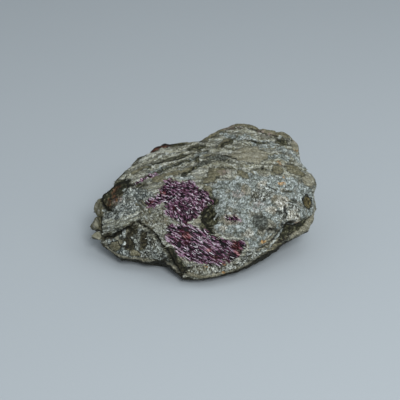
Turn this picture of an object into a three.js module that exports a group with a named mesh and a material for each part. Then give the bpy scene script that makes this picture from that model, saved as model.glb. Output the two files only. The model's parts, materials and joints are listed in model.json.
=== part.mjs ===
// Raw lepidolite: one hand-sized stone of pale pegmatite with a foliated back, as it was broken off.
// Units are millimetres, +Z is up. The stone lies on a flat break, and its long axis is X, with the
// granular face that holds the lepidolite towards -Y.
//
// The form is a cage of long edge lines that run from the left end to the right end, such as the crest
// and the front rim. The faces between two neighbouring lines are split into small triangles, their
// edges are worn a little, and then ledges, lumps, pits and grain are raised on them.

import * as THREE from "three";
import { ImprovedNoise } from "three/addons/math/ImprovedNoise.js";
import { mergeVertices } from "three/addons/utils/BufferGeometryUtils.js";

// ---- Driving dimensions ----

const TRIANGLE_EDGE = 3; // longest edge of a triangle
const SOLE_EDGE = 9; // the same, where the stone lies on the table
const SHORT_EDGE = 1; // edges under this are closed up
const WEAR_ROUNDS = 2; // how often the broken edges are smoothed
const WEAR = 0.3; // how far a corner moves to its neighbours' middle in a round
const ROUGH_ABOVE = 4; // height over the table by which wear and roughness are at their full size

// Foliation: layers that arch over the long axis and dip to the back, so that the top cuts across them.
const LAYER = 3.8; // thickness of a layer
const ARCH_TOP = 14; // x where a layer is highest
const LAYER_ARCH = 0.0045; // how much it drops towards both ends, per square millimetre from there
const LAYER_DIP = 0.36; // how much it drops towards the back, per millimetre of y
const LAYER_WAVE = 2.4; // how far it waves up and down
const LEDGE = 0.85; // share of a layer's thickness in each step of the top
const PAGE = 1.3; // most that a broken layer stands out of a steep face, or lies back in it

// Rough stone: each octave is [wavelength, height].
const ROUGHNESS = [[17, 1.1], [8, 0.75], [4.2, 0.5]];

// The long edge lines, each from the left end to the right end, in order round the stone. Every line
// has a point at the same twelve stations, so that neighbours can be joined.
const edgeLines = {
  crest: [
    [-49.4, -1.8, 22.5], [-43.6, -1.2, 28], [-36.6, 8.5, 34.2], [-26, 17.5, 39.2],
    [-17.2, 18.3, 41], [0, 21.9, 42.5], [8.1, 27.5, 45], [17.2, 28.1, 47.8],
    [30.5, 22.7, 47.1], [42.2, 22.9, 43.9], [45.5, 8.6, 37.5], [52, 4.6, 28.5],
  ],
  terrace: [
    [-49.4, -2.2, 20.5], [-43, -3.4, 26], [-35.6, 1.5, 32.3], [-25.1, 3.8, 36.6],
    [-16.7, 2.5, 38.5], [0, 2.6, 40], [7.7, 4.7, 42], [16.3, 4.8, 44],
    [29.2, 4, 43], [40.2, 2.6, 40], [45.8, 4, 34], [52, 3.2, 26],
  ],
  brow: [
    [-49.9, -3.4, 18.5], [-42, -7.3, 24], [-33.5, -6, 29], [-24.2, -7.5, 33],
    [-16.4, -8.3, 35], [0, -11, 37], [7.4, -11.9, 38], [15.8, -12.8, 39],
    [28.4, -11, 38], [39, -7.4, 35], [45.6, -4, 30], [51.5, 0.2, 24.5],
  ],
  belly: [
    [-50, -7.5, 14], [-44, -18.5, 17], [-36, -22.5, 20.5], [-26.5, -24, 21],
    [-16.5, -30, 19], [-7.5, -33.5, 17], [0.5, -30, 18.5], [15.5, -28.5, 22.5],
    [25.5, -26.5, 22.5], [34, -23.5, 23], [43, -17.5, 21.5], [50.5, -5, 20],
  ],
  knee: [
    [-50, -11.5, 11.5], [-44, -18, 13], [-35.5, -21.5, 15], [-25.5, -23, 17],
    [-16, -33.5, 14.5], [-8, -38, 8.5], [0, -36.5, 10], [15.5, -32.5, 12.5],
    [24.5, -29, 13.5], [35.5, -20.5, 15.5], [44, -15.5, 16], [51, -6.5, 17],
  ],
  rim: [
    [-50, -14, 9.5], [-44.7, -19.4, 7.8], [-36.9, -26.4, 6.3], [-25.1, -28.9, 6.8],
    [-16, -31.2, 7.4], [-9, -40.5, 5], [-0.5, -40.4, 5.3], [15, -35.4, 7.1],
    [24.5, -31.5, 9], [34.5, -24.1, 12.9], [45, -15.9, 15.1], [51.5, -9, 15.5],
  ],
  lip: [
    [-49, -13, 7.5], [-44.2, -18.4, 5.8], [-36.4, -25.4, 4.3], [-25.1, -27.4, 4.8],
    [-16.5, -29.7, 5], [-9, -39.5, 2.5], [-0.5, -39.4, 2.8], [15, -33.9, 4.1],
    [24.5, -30, 5.5], [34, -22.1, 9.4], [45, -14.4, 12.1], [51, -8, 13],
  ],
  frontFoot: [
    [-41, -8, 0], [-38, -14, 0], [-31, -20, 0], [-22, -23, 0],
    [-14, -25, 0], [-8, -32, 0], [0, -33, 0], [12, -29, 0],
    [20, -23, 0], [27, -16, 0], [34, -9, 0], [39, -2, 0],
  ],
  backFoot: [
    [-40, 2, 0], [-35, 8, 0], [-28, 15, 0], [-19, 23, 0],
    [-11, 27, 0], [2, 32, 0], [10, 35, 0], [18, 35, 0],
    [27, 32, 0], [34, 26, 0], [38, 18, 0], [40, 8, 0],
  ],
  backBulge: [
    [-46, 8, 11], [-39.5, 13, 12], [-31, 21, 14], [-21, 30.5, 15],
    [-13, 34, 14], [2, 39, 16], [10, 42, 15], [19, 43, 18],
    [30, 40, 16], [39, 34, 15], [44, 25, 14], [48, 14, 12],
  ],
  backShoulder: [
    [-47.5, 5, 17.5], [-41, 7.5, 21], [-33, 15, 26], [-23, 24, 30],
    [-15, 26, 31], [1, 30, 33], [9, 35.5, 34], [18, 37, 38],
    [30, 32, 36], [40, 28.5, 34], [44.5, 18, 30], [49.5, 10.5, 22.5],
  ],
};

// Single lumps (height above 0) and hollows (below 0) on the cage's faces.
const marks = [
  { name: "hollow beside the upper lepidolite", at: [4, -17.5, 32], radius: 4, height: -1.4 },
  { name: "hollow between the two patches", at: [1.5, -22.5, 27], radius: 5, height: -1.8 },
  { name: "hollow over the lower lepidolite", at: [2.5, -28, 22.5], radius: 4, height: -1.3 },
  { name: "knob at the upper lepidolite's corner", at: [1.5, -13, 36], radius: 4, height: 1.4 },
  { name: "lepidolite mound", at: [-11, -17, 30.5], radius: 9, height: 1 },
  { name: "lens above the front rim", at: [17, -28, 22], radius: 13, height: 1.6 },
  { name: "hollow behind the lens", at: [29.5, -24.5, 16], radius: 6, height: -1.4 },
  { name: "upper lump of the granular face", at: [18, -16.4, 35.5], radius: 5, height: 1 },
  { name: "middle lump of the granular face", at: [30, -17, 32], radius: 5.5, height: 1.2 },
  { name: "left lump of the granular face", at: [8.5, -24, 27.5], radius: 5, height: 1.2 },
  { name: "right lump of the granular face", at: [38.7, -18.5, 24.5], radius: 5, height: 1.4 },
  { name: "groove under the right face", at: [38.5, -19.6, 18], radius: 5.5, height: -1.8 },
  { name: "shoulder knob", at: [49, 1, 28.5], radius: 8, height: 2.8 },
  { name: "right corner of the crest", at: [43.8, 14.5, 40.5], radius: 6, height: 1.4 },
  { name: "right half of the peak", at: [23, 26.5, 47], radius: 6, height: 1.2 },
  { name: "notch left of the peak", at: [-27.5, 17, 38.5], radius: 4, height: -1.4 },
  { name: "notch over the left nose", at: [-36.8, 8.2, 34.5], radius: 4, height: -1.4 },
  { name: "dark facet on the left nose", at: [-42.5, -2, 27.5], radius: 6, height: -1.3 },
  { name: "upper flake at the left end", at: [-49.5, -12, 12.4], radius: 3, height: 3.4 },
  { name: "lower flake at the left end", at: [-49.3, -14.5, 8.8], radius: 2.6, height: 2.4 },
  { name: "groove under the left face", at: [-34, -23, 18], radius: 5, height: -1.6 },
  { name: "groove's left half", at: [-39, -20, 15.5], radius: 4, height: -1.2 },
];
const leftEnd = [-51.5, -2, 13];
const rightEnd = [53.2, 4, 18];

// ---- Cage ----

// Joins each line to the next one round the stone, and closes both ends with a fan.
function cageOf(lines, firstEnd, lastEnd) {
  const rows = Object.values(lines);
  const stations = rows[0].length;
  const points = rows.flat().concat([firstEnd, lastEnd]).map((p) => new THREE.Vector3(...p));
  const firstTip = points.length - 2;
  const lastTip = points.length - 1;
  const triangles = [];
  for (let row = 0; row < rows.length; row++) {
    const here = row * stations;
    const next = ((row + 1) % rows.length) * stations;
    triangles.push([firstTip, next, here], [lastTip, here + stations - 1, next + stations - 1]);
    for (let s = 0; s < stations - 1; s++) {
      const [a, b, c, d] = [here + s, here + s + 1, next + s + 1, next + s];
      // The shorter diagonal gives the better-shaped pair.
      const alongAC = points[a].distanceTo(points[c]) < points[b].distanceTo(points[d]);
      if (alongAC) triangles.push([a, c, b], [a, d, c]);
      else triangles.push([a, d, b], [b, d, c]);
    }
  }
  return { points, triangles };
}

const onSole = (point) => point.z < 1e-6;
// 0 on the table and 1 where the stone is fully rough.
const clearOfSole = (point) => THREE.MathUtils.smoothstep(point.z, 0, ROUGH_ABOVE);

const keyOf = (a, b) => (a < b ? `${a} ${b}` : `${b} ${a}`);

// Splits every edge that is too long at its middle, again and again, without opening a crack.
function refined({ points, triangles }) {
  const halves = new Map();
  const rising = new Set(); // edges of faces that rise from the table
  const middleOf = (a, b) => {
    const key = keyOf(a, b);
    if (points[a].distanceTo(points[b]) <= (rising.has(key) ? TRIANGLE_EDGE : SOLE_EDGE)) return -1;
    if (!halves.has(key)) halves.set(key, points.push(points[a].clone().lerp(points[b], 0.5)) - 1);
    return halves.get(key);
  };
  let split = true;
  while (split) {
    split = false;
    halves.clear();
    rising.clear();
    for (const triangle of triangles) {
      if (triangle.every((i) => onSole(points[i]))) continue;
      triangle.forEach((a, i) => rising.add(keyOf(a, triangle[(i + 1) % 3])));
    }
    const finer = [];
    for (const [a, b, c] of triangles) {
      const [ab, bc, ca] = [middleOf(a, b), middleOf(b, c), middleOf(c, a)];
      const cut = [ab, bc, ca].filter((m) => m >= 0).length;
      if (cut) split = true;
      if (cut === 3) finer.push([a, ab, ca], [ab, b, bc], [ca, bc, c], [ab, bc, ca]);
      else if (cut === 0) finer.push([a, b, c]);
      else {
        // Turned so that the first edge is split, and with two splits the first and second are.
        const turns = [[a, b, c, ab, bc], [b, c, a, bc, ca], [c, a, b, ca, ab]];
        const [p, q, r, pq, qr] = turns.find((t) => t[3] >= 0 && (cut === 1 || t[4] >= 0));
        if (cut === 1) finer.push([p, pq, r], [pq, q, r]);
        else if (points[p].distanceTo(points[qr]) < points[pq].distanceTo(points[r])) {
          finer.push([pq, q, qr], [p, pq, qr], [p, qr, r]);
        } else finer.push([pq, q, qr], [p, pq, r], [pq, qr, r]);
      }
    }
    triangles = finer;
  }
  return { points, triangles };
}

// Closes up short edges by merging their ends, where that neither pinches the surface nor lifts the sole.
function closedUp({ points, triangles }) {
  const mergedInto = new Map();
  let merged = true;
  while (merged) {
    merged = false;
    const neighbours = points.map(() => new Set());
    for (const triangle of triangles) {
      triangle.forEach((a, i) => neighbours[a].add(triangle[(i + 1) % 3]).add(triangle[(i + 2) % 3]));
    }
    const settled = new Set();
    mergedInto.clear();
    for (const [a, b] of triangles.flatMap(([p, q, r]) => [[p, q], [q, r], [r, p]])) {
      if (settled.has(a) || settled.has(b) || points[a].distanceTo(points[b]) > SHORT_EDGE) continue;
      const shared = [...neighbours[a]].filter((i) => neighbours[b].has(i));
      if (shared.length !== 2 || onSole(points[a]) !== onSole(points[b])) continue;
      for (const i of [...neighbours[a], ...neighbours[b]]) settled.add(i);
      points[a].lerp(points[b], 0.5);
      mergedInto.set(b, a);
      merged = true;
    }
    triangles = triangles
      .map((triangle) => triangle.map((i) => mergedInto.get(i) ?? i))
      .filter(([p, q, r]) => p !== q && q !== r && r !== p);
  }
  return { points, triangles };
}

// ---- Surface ----

// Moves every point towards the middle of its neighbours, which wears the broken edges.
function worn({ points, triangles }) {
  for (let round = 0; round < WEAR_ROUNDS; round++) {
    const sums = points.map(() => new THREE.Vector3());
    const counts = points.map(() => 0);
    for (const triangle of triangles) {
      triangle.forEach((from, i) => {
        sums[from].add(points[triangle[(i + 1) % 3]]).add(points[triangle[(i + 2) % 3]]);
        counts[from] += 2;
      });
    }
    points.forEach((point, i) => {
      point.lerp(sums[i].divideScalar(counts[i]), WEAR * clearOfSole(point));
    });
  }
  return { points, triangles };
}

const perlin = new ImprovedNoise();
const noise = (point, wavelength, seed) =>
  perlin.noise(point.x / wavelength + seed, point.y / wavelength - seed, point.z / wavelength + 2 * seed);

// The layered share of the surface: all of the top, the back and the right end, little of the front.
function foliation(point, normal) {
  const facesBack = THREE.MathUtils.smoothstep(normal.y + 0.55 * normal.z, -0.1, 0.45);
  const facesRight = THREE.MathUtils.smoothstep(point.x, 34, 46);
  const patchy = 0.75 + 0.5 * noise(point, 13, 7.3);
  return Math.max(facesBack, facesRight, 0.25) * patchy;
}

// A point's place in the layers: the whole part is the layer, the rest how far up in it the point is.
function levelOf(point) {
  const wave = LAYER_WAVE * (noise(point, 24, 1.7) + 0.4 * noise(point, 9, 4.1));
  const drop = LAYER_ARCH * (point.x - ARCH_TOP) ** 2 + LAYER_DIP * point.y;
  return (point.z + drop + wave) / LAYER;
}

// How far a point of the top moves up to reach the flat of its layer, or down to it.
function stepAt(level) {
  const within = level - Math.floor(level);
  return (THREE.MathUtils.smoothstep(within, 0.3, 0.7) - within) * LAYER * LEDGE;
}

// How far a point of a steep face moves out with the broken edge of its layer.
function pageAt(level) {
  const layer = Math.floor(level);
  const edge = (number) => 2 * PAGE * perlin.noise(0.77 * number + 0.3, 0.41 * number, 0.5);
  const blend = THREE.MathUtils.smoothstep(level - layer, 0.6, 1);
  return THREE.MathUtils.lerp(edge(layer), edge(layer + 1), blend);
}

// The height that the single lumps and hollows add at a point: a round bump that fades at its radius.
function markAt(point) {
  let height = 0;
  for (const mark of marks) {
    const away = point.distanceTo(new THREE.Vector3(...mark.at)) / mark.radius;
    if (away < 1) height += mark.height * (1 - away * away) ** 2;
  }
  return height;
}

const geometryOf = ({ points, triangles }) =>
  new THREE.BufferGeometry().setFromPoints(points).setIndex(triangles.flat());

function roughened({ points, triangles }) {
  const smooth = geometryOf({ points, triangles });
  smooth.computeVertexNormals();
  points.forEach((point, i) => {
    const normal = new THREE.Vector3().fromBufferAttribute(smooth.attributes.normal, i);
    const share = clearOfSole(point);
    const level = levelOf(point);
    const layered = share * foliation(point, normal);
    const up = Math.max(normal.z, 0) ** 2;
    let grain = 0;
    ROUGHNESS.forEach(([wavelength, height], k) => {
      grain += height * noise(point, wavelength, 3 * k);
    });
    const out = share * (grain + markAt(point)) + layered * (1 - up) * pageAt(level);
    point.addScaledVector(normal, out);
    point.z += layered * up * stepAt(level);
  });
  return { points, triangles };
}

// ---- The stone ----

const surface = roughened(worn(closedUp(refined(cageOf(edgeLines, leftEnd, rightEnd)))));
// Each face brings its own corners, so that no point is kept that a closed-up edge left behind.
const geometry = mergeVertices(geometryOf(surface).toNonIndexed());
// The origin is the middle of the stone's length and width, on the table.
geometry.computeBoundingBox();
const middle = geometry.boundingBox.getCenter(new THREE.Vector3());
geometry.translate(-middle.x, -middle.y, 0);
geometry.computeVertexNormals();

const pegmatite = new THREE.MeshStandardMaterial({ color: 0x7c7f78, roughness: 0.8, metalness: 0 });
const stone = new THREE.Mesh(geometry, pegmatite);
stone.name = "lepidolite_stone";

const part = new THREE.Group();
part.add(stone);

export default part;
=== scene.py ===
import json
import math

import bmesh
import bpy
import numpy as np
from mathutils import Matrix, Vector, noise

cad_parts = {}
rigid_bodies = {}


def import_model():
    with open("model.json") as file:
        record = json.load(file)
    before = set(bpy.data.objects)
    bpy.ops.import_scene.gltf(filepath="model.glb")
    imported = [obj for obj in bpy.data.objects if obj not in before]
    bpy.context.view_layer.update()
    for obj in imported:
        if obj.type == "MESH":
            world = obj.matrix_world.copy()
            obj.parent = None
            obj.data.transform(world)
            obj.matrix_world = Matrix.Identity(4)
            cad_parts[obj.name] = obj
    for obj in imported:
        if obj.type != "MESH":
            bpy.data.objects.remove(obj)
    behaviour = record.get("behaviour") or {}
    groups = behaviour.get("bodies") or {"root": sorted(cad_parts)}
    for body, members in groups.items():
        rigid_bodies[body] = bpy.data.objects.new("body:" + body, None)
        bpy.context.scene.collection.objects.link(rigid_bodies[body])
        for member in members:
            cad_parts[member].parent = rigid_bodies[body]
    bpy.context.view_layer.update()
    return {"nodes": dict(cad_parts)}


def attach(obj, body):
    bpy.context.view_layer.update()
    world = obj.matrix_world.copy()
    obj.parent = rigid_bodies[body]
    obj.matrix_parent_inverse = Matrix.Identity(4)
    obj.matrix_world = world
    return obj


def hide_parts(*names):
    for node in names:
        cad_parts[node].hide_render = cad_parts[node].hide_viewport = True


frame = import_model()

mm = 0.001  # sizes below are in millimetres, Blender works in metres

# the broken face leans back by this, and so does the plane that its patches are placed on
faceLean = math.radians(30)
faceOut = np.array([0, -math.cos(faceLean), math.sin(faceLean)])
faceUp = np.array([0, math.sin(faceLean), math.cos(faceLean)])
faceRight = np.array([1, 0, 0])


# numbers on points

def smooth(value, low, high):
    # 0 at low, 1 at high and smooth in between; high may be the lower number
    share = np.clip((value - low) / (high - low), 0, 1)
    return share * share * (3 - 2 * share)


def unit(vectors):
    return vectors / np.linalg.norm(vectors, axis=1)[:, None]


def noiseAt(points, wavelength, seed):
    # soft noise from about -1 to 1 at every point
    places = points / wavelength + np.array([seed, -0.7 * seed, 0.4 * seed])
    return np.array([noise.noise(place) for place in places.tolist()])


def cellsAt(places, seed):
    # for every point: a number for the cell it lies in, and how far inside the cell it is
    shades, insides = [], []
    for place in (places + seed).tolist():
        distances, middles = noise.voronoi(place)
        shades.append(noise.cell(middles[0] * 7.7))
        insides.append(distances[1] - distances[0])
    return 0.5 + 0.5 * np.array(shades), np.array(insides)


def onFacePlane(points):
    # u runs to the right, v runs up the leaning face
    return points[:, 0], points[:, 1] * math.sin(faceLean) + points[:, 2] * math.cos(faceLean)


def offLine(u, v, line):
    # distance from a bent line
    nearest = np.full(len(u), 1e9)
    for (au, av), (bu, bv) in zip(line, line[1:]):
        du, dv = bu - au, bv - av
        share = np.clip(((u - au) * du + (v - av) * dv) / (du * du + dv * dv), 0, 1)
        nearest = np.minimum(nearest, np.hypot(u - au - share * du, v - av - share * dv))
    return nearest


def insideOutline(u, v, outline):
    # millimetres inside a closed outline, below zero outside
    inside = np.zeros(len(u), bool)
    for (au, av), (bu, bv) in zip(outline, outline[1:] + outline[:1]):
        if bv != av:
            inside ^= ((av > v) != (bv > v)) & (u < au + (bu - au) * (v - av) / (bv - av))
    nearest = offLine(u, v, outline + outline[:1])
    return np.where(inside, nearest, -nearest)


def insideSpot(u, v, spot):
    # the same for an oval: its middle, its two half axes, and its turn in degrees
    middleU, middleV, long, short, turn = spot
    angle = math.radians(turn)
    along = (u - middleU) * math.cos(angle) + (v - middleV) * math.sin(angle)
    across = (v - middleV) * math.cos(angle) - (u - middleU) * math.sin(angle)
    return (1 - np.hypot(along / long, across / short)) * min(long, short)


# meshes and the numbers that they carry

def asObject(name, data):
    made = bpy.data.objects.new(name, data)
    bpy.context.collection.objects.link(made)
    return made


def pointsOf(mesh):
    points = np.empty(3 * len(mesh.vertices))
    mesh.vertices.foreach_get("co", points)
    return points.reshape(-1, 3) / mm


def normalsOf(mesh):
    return np.array([corner.vector for corner in mesh.vertex_normals])


def setMap(mesh, name, values):
    mesh.attributes.new(name, "FLOAT", "POINT").data.foreach_set("value", values.astype(np.float32))


def mapOf(body, name):
    values = np.empty(len(body.data.vertices), np.float32)
    body.data.attributes[name].data.foreach_get("value", values)
    return values.astype(float)


def shareOf(body, name, low, high):
    # how much of a mineral each vertex has, from 0 to 1
    return smooth(mapOf(body, name), low, high)


# where each mineral shows on the broken face, on the leaning plane: outlines, ovals as in insideSpot, and
# bands as a bent line and half its width
faceMap = {
    "lilac": {
        "outlines": [
            [(-17, 26.5), (-15, 27), (-12.5, 26), (-10.5, 25.5), (-8.5, 26), (-6.5, 26.5), (-4.5, 24.5),
             (-2.5, 22.5), (0, 21.5), (1.5, 20), (3.5, 17), (1.5, 16.5), (0, 15), (-0.5, 13), (-2, 12),
             (-3.5, 11), (-4, 10), (-7, 8.5), (-9, 7), (-11, 8), (-12, 8.5), (-15, 10), (-17.5, 11.5),
             (-16.5, 13), (-17, 15), (-18, 16.5), (-17.5, 17.5), (-20, 16), (-22, 14.5), (-25.5, 14),
             (-26.5, 16), (-23.5, 18), (-21.5, 19.5), (-20, 21), (-19.5, 22.5), (-18, 24)],
            [(-17, 5.5), (-14.5, 6), (-12, 6.5), (-9.5, 6), (-6.5, 7), (-4, 5.5), (-2, 5), (0, 4), (2.5, 2),
             (4.5, 1), (7.5, 0.5), (10, -0.5), (13.5, -1), (16.5, 0), (17.5, -2.5), (15.5, -5), (14, -8),
             (11.5, -9.5), (10, -9), (7.5, -8.5), (5, -9), (2.5, -11), (0, -9), (-2, -10.5), (-4, -8.5),
             (-6.5, -9), (-8.5, -7), (-10.5, -6.5), (-13.5, -3), (-15, -1), (-17, 0), (-15.5, 2.5)],
        ],
        "spots": [(12.5, 9.2, 2.6, 1, -20), (6.5, -10, 2, 1, 0)],
        "bands": [([(-31.5, 25), (-28, 27.5), (-22, 29.5)], 0.3), ([(-25, 17), (-19, 20)], 0.6), ([(-9, 8.5),
            (-7.5, 5)], 0.9)],
    },
    "granular": {
        "outlines": [
            [(0, 24.5), (5, 26), (12, 26.5), (18, 29.6), (25.5, 30), (31.5, 28.8), (38.5, 28), (45, 26.6),
             (49.5, 22.5), (51, 15.5), (48.5, 10), (41.5, 6), (35, 8), (34.5, 3), (31, -2.5), (26, -4),
             (20, -4), (18.5, 0.5), (13.5, 1), (9.5, 1.6), (6, 3.2), (3.5, 6), (3.5, 12.5), (4.5, 17.5),
             (2.5, 22)],
            [(-46.5, 15), (-43.5, 18), (-37.5, 22.5), (-30.5, 23.5), (-24.5, 22), (-21, 18.5), (-26, 15),
             (-29, 12.5), (-34, 10.5), (-40, 9), (-46, 8.5)],
            [(-45.5, 1.5), (-39.5, 3.5), (-32, 6.5), (-27.5, 4.5), (-21.5, -0.5), (-17.5, -5), (-14.5, -10),
             (-24.5, -10.5), (-32, -9.5), (-39, -8), (-44, -4)],
            [(-30, 9), (-29, 12), (-25, 13.5), (-19, 14), (-15, 9.5), (-10, 7), (-16.5, 5.5), (-17.5, 1),
             (-14, -4), (-9, -8), (-5, -10), (-7, -14), (-9, -11), (-13, -5.5), (-16, -1.5), (-21, 2.5),
             (-26, 7)],
            [(-6.5, -11), (0, -11), (7.5, -10), (15.5, -9), (20, -4.5), (25.5, -3), (30, -4), (25.5, -7),
             (18, -11.5), (9, -15), (-2, -17), (-7, -15.5)],
        ],
        "spots": [(27.5, 43.4, 6, 1.8, -4)],
        "bands": [([(7.5, 49.5), (12, 48), (18.5, 46)], 1), ([(19, 48), (24, 44.5)], 1), ([(34.5, 41.6),
            (40, 39.2), (43.4, 36.6), (46.4, 33.8)], 1.4), ([(30, 37), (34, 37.5), (38, 36.5)], 1.2),
            ([(-25, 30.5), (-15.5, 32.5), (-6.5, 36), (0.5, 40)], 0.8), ([(-18, 27), (-14.5, 28.5),
            (-11, 27.5), (-8, 28), (-4.5, 27)], 0.9)],
    },
    "olive": {
        "outlines": [
            [(-0.5, 14.5), (1.5, 15.3), (4, 15.5), (3.5, 13), (4.5, 12), (6.5, 9.5), (5.5, 7.5), (3.8, 6.5),
             (3.2, 5), (4.2, 2.3), (2, 2.5), (0, 5), (-2, 6), (-1.4, 9), (-2.3, 11), (-1.7, 12.5)],
            [(2, 17.5), (4, 19), (5.8, 17.2), (4.5, 15.5), (2.5, 15.7)],
            [(-49, 20), (-46.5, 22.4), (-42.5, 25), (-38.5, 27), (-34.3, 27.4), (-33.8, 24.8), (-36, 21.4),
             (-38, 19), (-39.6, 17), (-41.2, 14.8), (-43.2, 12.6), (-46, 14), (-47.8, 17)],
            [(-17.5, -2.5), (-15, -3), (-11.5, -7), (-8, -11.5), (-7, -15), (-10, -14), (-13.5, -10.5)],
            [(-36, 0.5), (-33.5, 0.7), (-31.5, -1.5), (-31.7, -4.5), (-33.5, -5.5), (-36, -4.5),
             (-36.7, -1.5)],
            [(-35.5, 0.3), (-35, 2.5), (-33, 4.5), (-30, 7), (-29, 5.5), (-30.5, 3.3), (-33, 1.3)],
            [(-28, 4), (-26, 3), (-25.3, 0), (-26.8, -4), (-28.5, -5), (-29, -2.5), (-28.5, 0.5)],
            [(33.5, 46), (36.5, 47), (39, 45.5), (39, 43.5), (36, 42.5), (34, 43.5)],
            [(45.5, 18.5), (47.5, 20), (49.5, 18), (49.5, 15), (47.5, 13.5), (45, 15.5)],
            [(-8, 41.5), (-6, 43), (-2, 43.5), (1.5, 43), (0.5, 41.8), (-3, 41), (-6.5, 40.7)],
            [(35.4, 6.6), (38.5, 7), (42.2, 7.6), (45, 9), (48.2, 10), (46, 7.4), (42.6, 4.8), (38.8, 1.8),
             (35.4, -1), (33, -1.4), (33.6, 2)],
        ],
        "spots": [(2.6, 20.3, 1, 1.6, 0), (-3.5, 36, 1, 1.3, 0), (25.8, 32, 0.7, 0.5, 0),
            (-27.5, 24.5, 1.2, 0.6, 10), (-30, 24.5, 1.4, 0.8, 0), (-44, 2, 2, 0.8, 30)],
        "bands": [([(-26, 32.5), (-22.5, 34.5), (-17.5, 36), (-13, 37.5), (-9.5, 38.5), (-5.5, 39)], 0.45),
            ([(-24.5, 28.5), (-20, 31), (-15.5, 32.5), (-10, 35), (-6.5, 36)], 0.35), ([(-10, 29), (-8, 30),
            (-5.5, 31.5), (-2.5, 33)], 0.4), ([(24, 50.5), (34, 47.5)], 0.3), ([(-46, 0.5), (-43.5, 1),
            (-41.5, 1.5), (-38, 3), (-34, 5), (-31.5, 7.5)], 0.7), ([(-30, 9), (-27.5, 6.5), (-23, 3.5),
            (-19.5, -1.5), (-16.5, -4), (-14, -9.5)], 0.5), ([(8, 43), (13, 45.5)], 0.6), ([(36.4, 21.6),
            (38.6, 21.6)], 0.3), ([(20, 45.5), (25, 44.2), (29, 44.5)], 0.45), ([(-47.5, 8), (-47, 3)], 0.5),
            ([(-42, 26.8), (-38.5, 29.7), (-35, 33.5), (-31.5, 36.5), (-28, 39)], 0.7), ([(-27, 40),
            (-22, 42.6), (-16, 43.8), (-10, 43.2)], 0.6)],
    },
    "khaki": {
        "outlines": [
            [(1, 29.5), (3, 31.5), (5.5, 32.5), (8.5, 32), (10, 30), (8, 28.5), (4, 28)],
            [(15, 31), (17, 30.7), (19, 28.7), (20.3, 27), (17, 27.8), (15.2, 29)],
            [(36.8, 33.5), (40.1, 33.5), (43.4, 32.1), (46.2, 29.8), (45.3, 28.4), (41.1, 29.3),
             (37.8, 30.7)],
            [(-43.5, -2.5), (-41.5, -1.3), (-39, -1.3), (-37.3, -3.5), (-39.5, -5.2), (-42, -4.7)],
            [(-50, 17.5), (-47.8, 17.5), (-46.8, 14), (-46.8, 10), (-47.3, 4), (-50, 4), (-51, 11)],
        ],
        "spots": [(1.3, 21.6, 2.4, 2.2, 0), (33.3, 31.2, 2.5, 1.8, -15), (2.5, 27, 3, 1.5, 20),
            (-31.2, -6.3, 2.4, 1.4, -10), (-20, 27.3, 3.4, 1.8, 15), (32, -3, 3, 1.4, 30),
            (10, 44.5, 4, 1.2, 25)],
        "bands": [([(-27.5, 41), (-20, 44), (-6.5, 45.5), (0.5, 47), (5.5, 50), (11.5, 53), (17, 54)], 1.1),
            ([(17, 54), (22.5, 52.5), (27, 50.5), (34, 49), (41, 47.5)], 1.1), ([(-21, 27.5), (-15.5, 29.5),
            (-9, 30.5), (-6, 32)], 0.6), ([(-29.5, 17.5), (-27, 16), (-25.5, 14), (-24.5, 11.5)], 0.3),
            ([(-31, 16), (-28.5, 14.5), (-27, 12)], 0.3), ([(-33, 30), (-28.5, 32.5), (-25, 33)], 0.5)],
    },
    "slate": {
        "outlines": [
            [(21.2, 9.8), (22.4, 11), (26.8, 10.8), (28, 8.6), (28, 5.6), (26.4, 4.2), (24, 4.4),
             (21.6, 6.2)],
            [(1.5, 36.2), (4.5, 38), (6.5, 38.6), (9.5, 38), (12, 36.9), (10, 36.2), (7, 35.6), (4, 36)],
            [(-3.5, 34), (-1, 35.8), (1.5, 36.2), (3.2, 35.4), (1, 33.6), (-2, 32.8)],
        ],
        "spots": [(-40, 12, 1.4, 1.2, 0), (33, 12, 1.6, 1.2, 0), (40, 17, 1.6, 1.4, 0)],
        "bands": [([(-2.5, 33), (-5.5, 31.5), (-8, 30), (-10, 29)], 0.8)],
    },
    "pale": {
        "outlines": [
            [(41.5, 4.5), (46, 8.2), (50.8, 11), (51, 6), (47, 2.5), (42.5, -1), (39, -1.5), (38.5, 0.5)],
            [(41.5, 46.6), (44, 45.8), (46, 42.5), (44.5, 39.6), (41.5, 40.5), (40.2, 43)],
            [(11.5, 38.4), (14, 40.5), (18, 42), (22, 42), (26, 41), (29, 38.6), (28, 36), (24.5, 34.4),
             (19, 34.8), (14.5, 35.6)],
        ],
        "spots": [(-2.9, 8.4, 1.4, 1.4, 0), (48, 26.8, 3.4, 2.7, 0), (-35.1, 2.8, 1.1, 1.6, 0),
            (-37.6, -1, 0.8, 1.2, 0), (-39.3, 0.5, 1.1, 0.8, 0), (22, 30.1, 1, 0.8, 0)],
        # the first three bands follow the lower rim: a pale edge, partly a painted highlight above the shaded
        # undercut
        "bands": [([(-45.5, -3.3), (-42, -5.6), (-38, -7.4), (-32.5, -8.8), (-24.5, -9.3), (-16, -10),
            (-12, -13)], 0.5), ([(-7, -14.5), (-2, -16.2), (4.5, -15), (10.5, -14), (15.5, -12.5), (20, -10),
            (26.5, -6)], 0.5), ([(26.5, -6), (34.5, -3), (42, 0)], 0.5), ([(34, 8), (33.5, 5), (32, 3),
            (28.5, 0), (24.5, -2)], 0.4), ([(36.5, 2.5), (31.5, -0.7), (27.5, -3), (23.5, -5)], 0.35),
            ([(37, 8.4), (40, 7.4), (43, 8.8)], 0.5)],
    },
    "weathered": {
        "outlines": [
            [(-52, 12), (-46, 17), (-36, 23), (-28, 24), (-20, 18), (-17, 10), (-18, 0), (-12, -9), (-6, -18),
             (-14, -18), (-30, -13), (-46, -6), (-53, 3)],
            [(-9, -20), (-7, -10), (2, -11), (14, -10), (20, -4), (30, -2), (38, 2), (48, 8), (54, 8),
             (42, -6), (20, -14), (5, -19)],
        ],
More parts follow.
